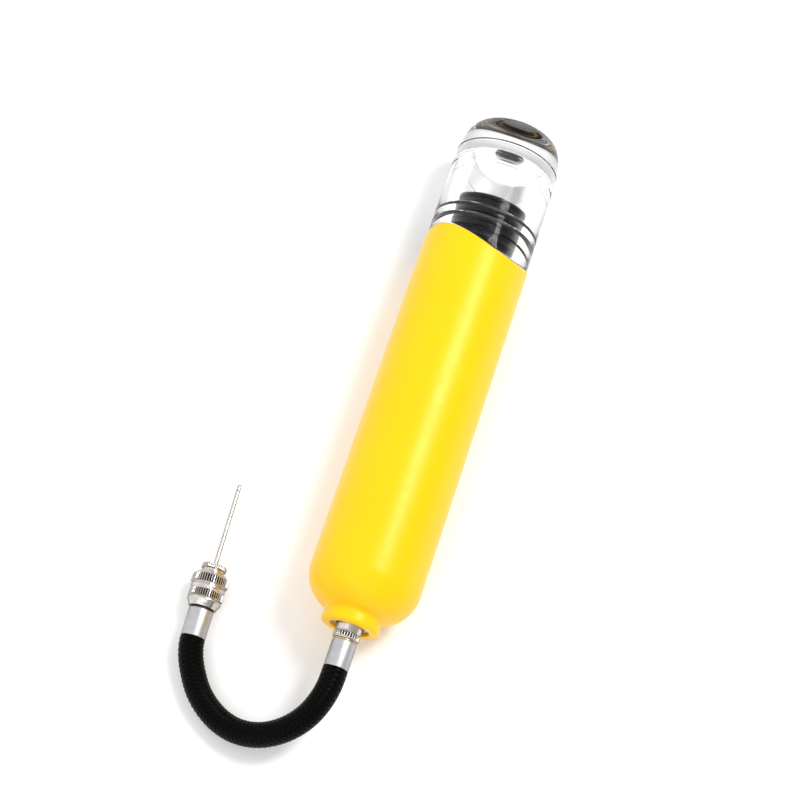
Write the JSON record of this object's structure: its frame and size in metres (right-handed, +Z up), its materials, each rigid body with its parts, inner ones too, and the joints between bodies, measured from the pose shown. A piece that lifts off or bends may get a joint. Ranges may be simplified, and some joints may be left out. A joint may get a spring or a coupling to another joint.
{
  "type": "ball inflation pump",
  "caption": "Hand pump for inflating balls: a yellow barrel with a clear push handle, a short braided hose with a knurled chuck, and an inflation needle.",
  "frame": {"origin": "on the ground plane, midway between the neck's face and the handle's end, below the pump axis", "axes": "+Y along the pump axis from the neck to the clear handle, +Z up, +X to the right seen from the neck"},
  "size_m": [0.0802, 0.2473, 0.04],
  "materials": {
    "yellow_shell": "satin gloss",
    "clear_acrylic": "polished, clear",
    "black_plastic": "moulded, satin",
    "badge": "gloss",
    "rubber": "matt",
    "braid": "black braided sleeve over rubber",
    "copper_brass": "turned",
    "brass": "turned",
    "nickel": "nickel plate, satin",
    "aluminium": "turned",
    "steel": "ground",
    "nylon": "moulded"
  },
  "bodies": {
    "barrel": {"outer_shell": "yellow_shell", "port_insert": "copper_brass", "pump_cylinder": "aluminium", "cylinder_head": "black_plastic", "head_seal": "rubber", "valve_retainer": "brass", "end_gland": "black_plastic", "rod_seal": "rubber", "port_washer": "brass", "inlet_nipple": "brass", "ferrule_in": "aluminium", "hose": "braid", "ferrule_out": "aluminium", "outlet_nipple": "brass", "swivel_seal": "rubber"},
    "handle": {"clear_cap": "clear_acrylic", "handle_plug": "black_plastic", "cap_gasket": "rubber", "grip_ring_lower": "rubber", "grip_ring_upper": "rubber", "end_badge": "badge", "piston_rod": "aluminium", "rod_screw": "steel", "piston_head": "black_plastic", "guide_ring": "nylon", "piston_screw": "steel"},
    "piston_seal": {"piston_seal": "rubber"},
    "outlet_valve": {"outlet_ball": "steel", "outlet_spring": "steel"},
    "port_nut": {"port_nut": "nickel"},
    "chuck": {"chuck": "nickel"},
    "needle_seat": {"chuck_gasket": "rubber"},
    "needle": {"needle_base": "nickel", "needle_tube": "nickel"}
  },
  "joints": [
    {"name": "handle_slide", "type": "slide", "parent": "barrel", "child": "handle", "axis": [0, 1, 0], "range_m": [0, 0.084]},
    {"name": "seal_float", "type": "slide", "parent": "handle", "child": "piston_seal", "axis": [0, 1, 0], "range_m": [0, 0.0012]},
    {"name": "outlet_valve_lift", "type": "slide", "parent": "barrel", "child": "outlet_valve", "axis": [0, -1, 0], "range_m": [0, 0.0012], "stiffness_N_per_m": 40, "springref_m": -0.001, "deforming": ["outlet_spring"]},
    {"name": "port_nut_spin", "type": "hinge", "parent": "barrel", "child": "port_nut", "pos_m": [0, -0.104, 0.02], "axis": [0, 1, 0], "continuous": true},
    {"name": "chuck_spin", "type": "hinge", "parent": "barrel", "child": "chuck", "pos_m": [-0.0532, -0.1012, 0.0067], "axis": [-0.0523, 0.9986, 0], "continuous": true},
    {"name": "needle_feed", "type": "slide", "parent": "chuck", "child": "needle_seat", "axis": [-0.0523, 0.9986, 0], "range_m": [0, 0.0032]},
    {"name": "needle_turn", "type": "hinge", "parent": "needle_seat", "child": "needle", "pos_m": [-0.05372, -0.09121, 0.0067], "axis": [-0.0523, 0.9986, 0], "range_deg": [0, 1440]}
  ],
  "couplings": [
    {"joint": "needle_turn", "follows": "needle_feed", "rad_per_m": 7854}
  ]
}
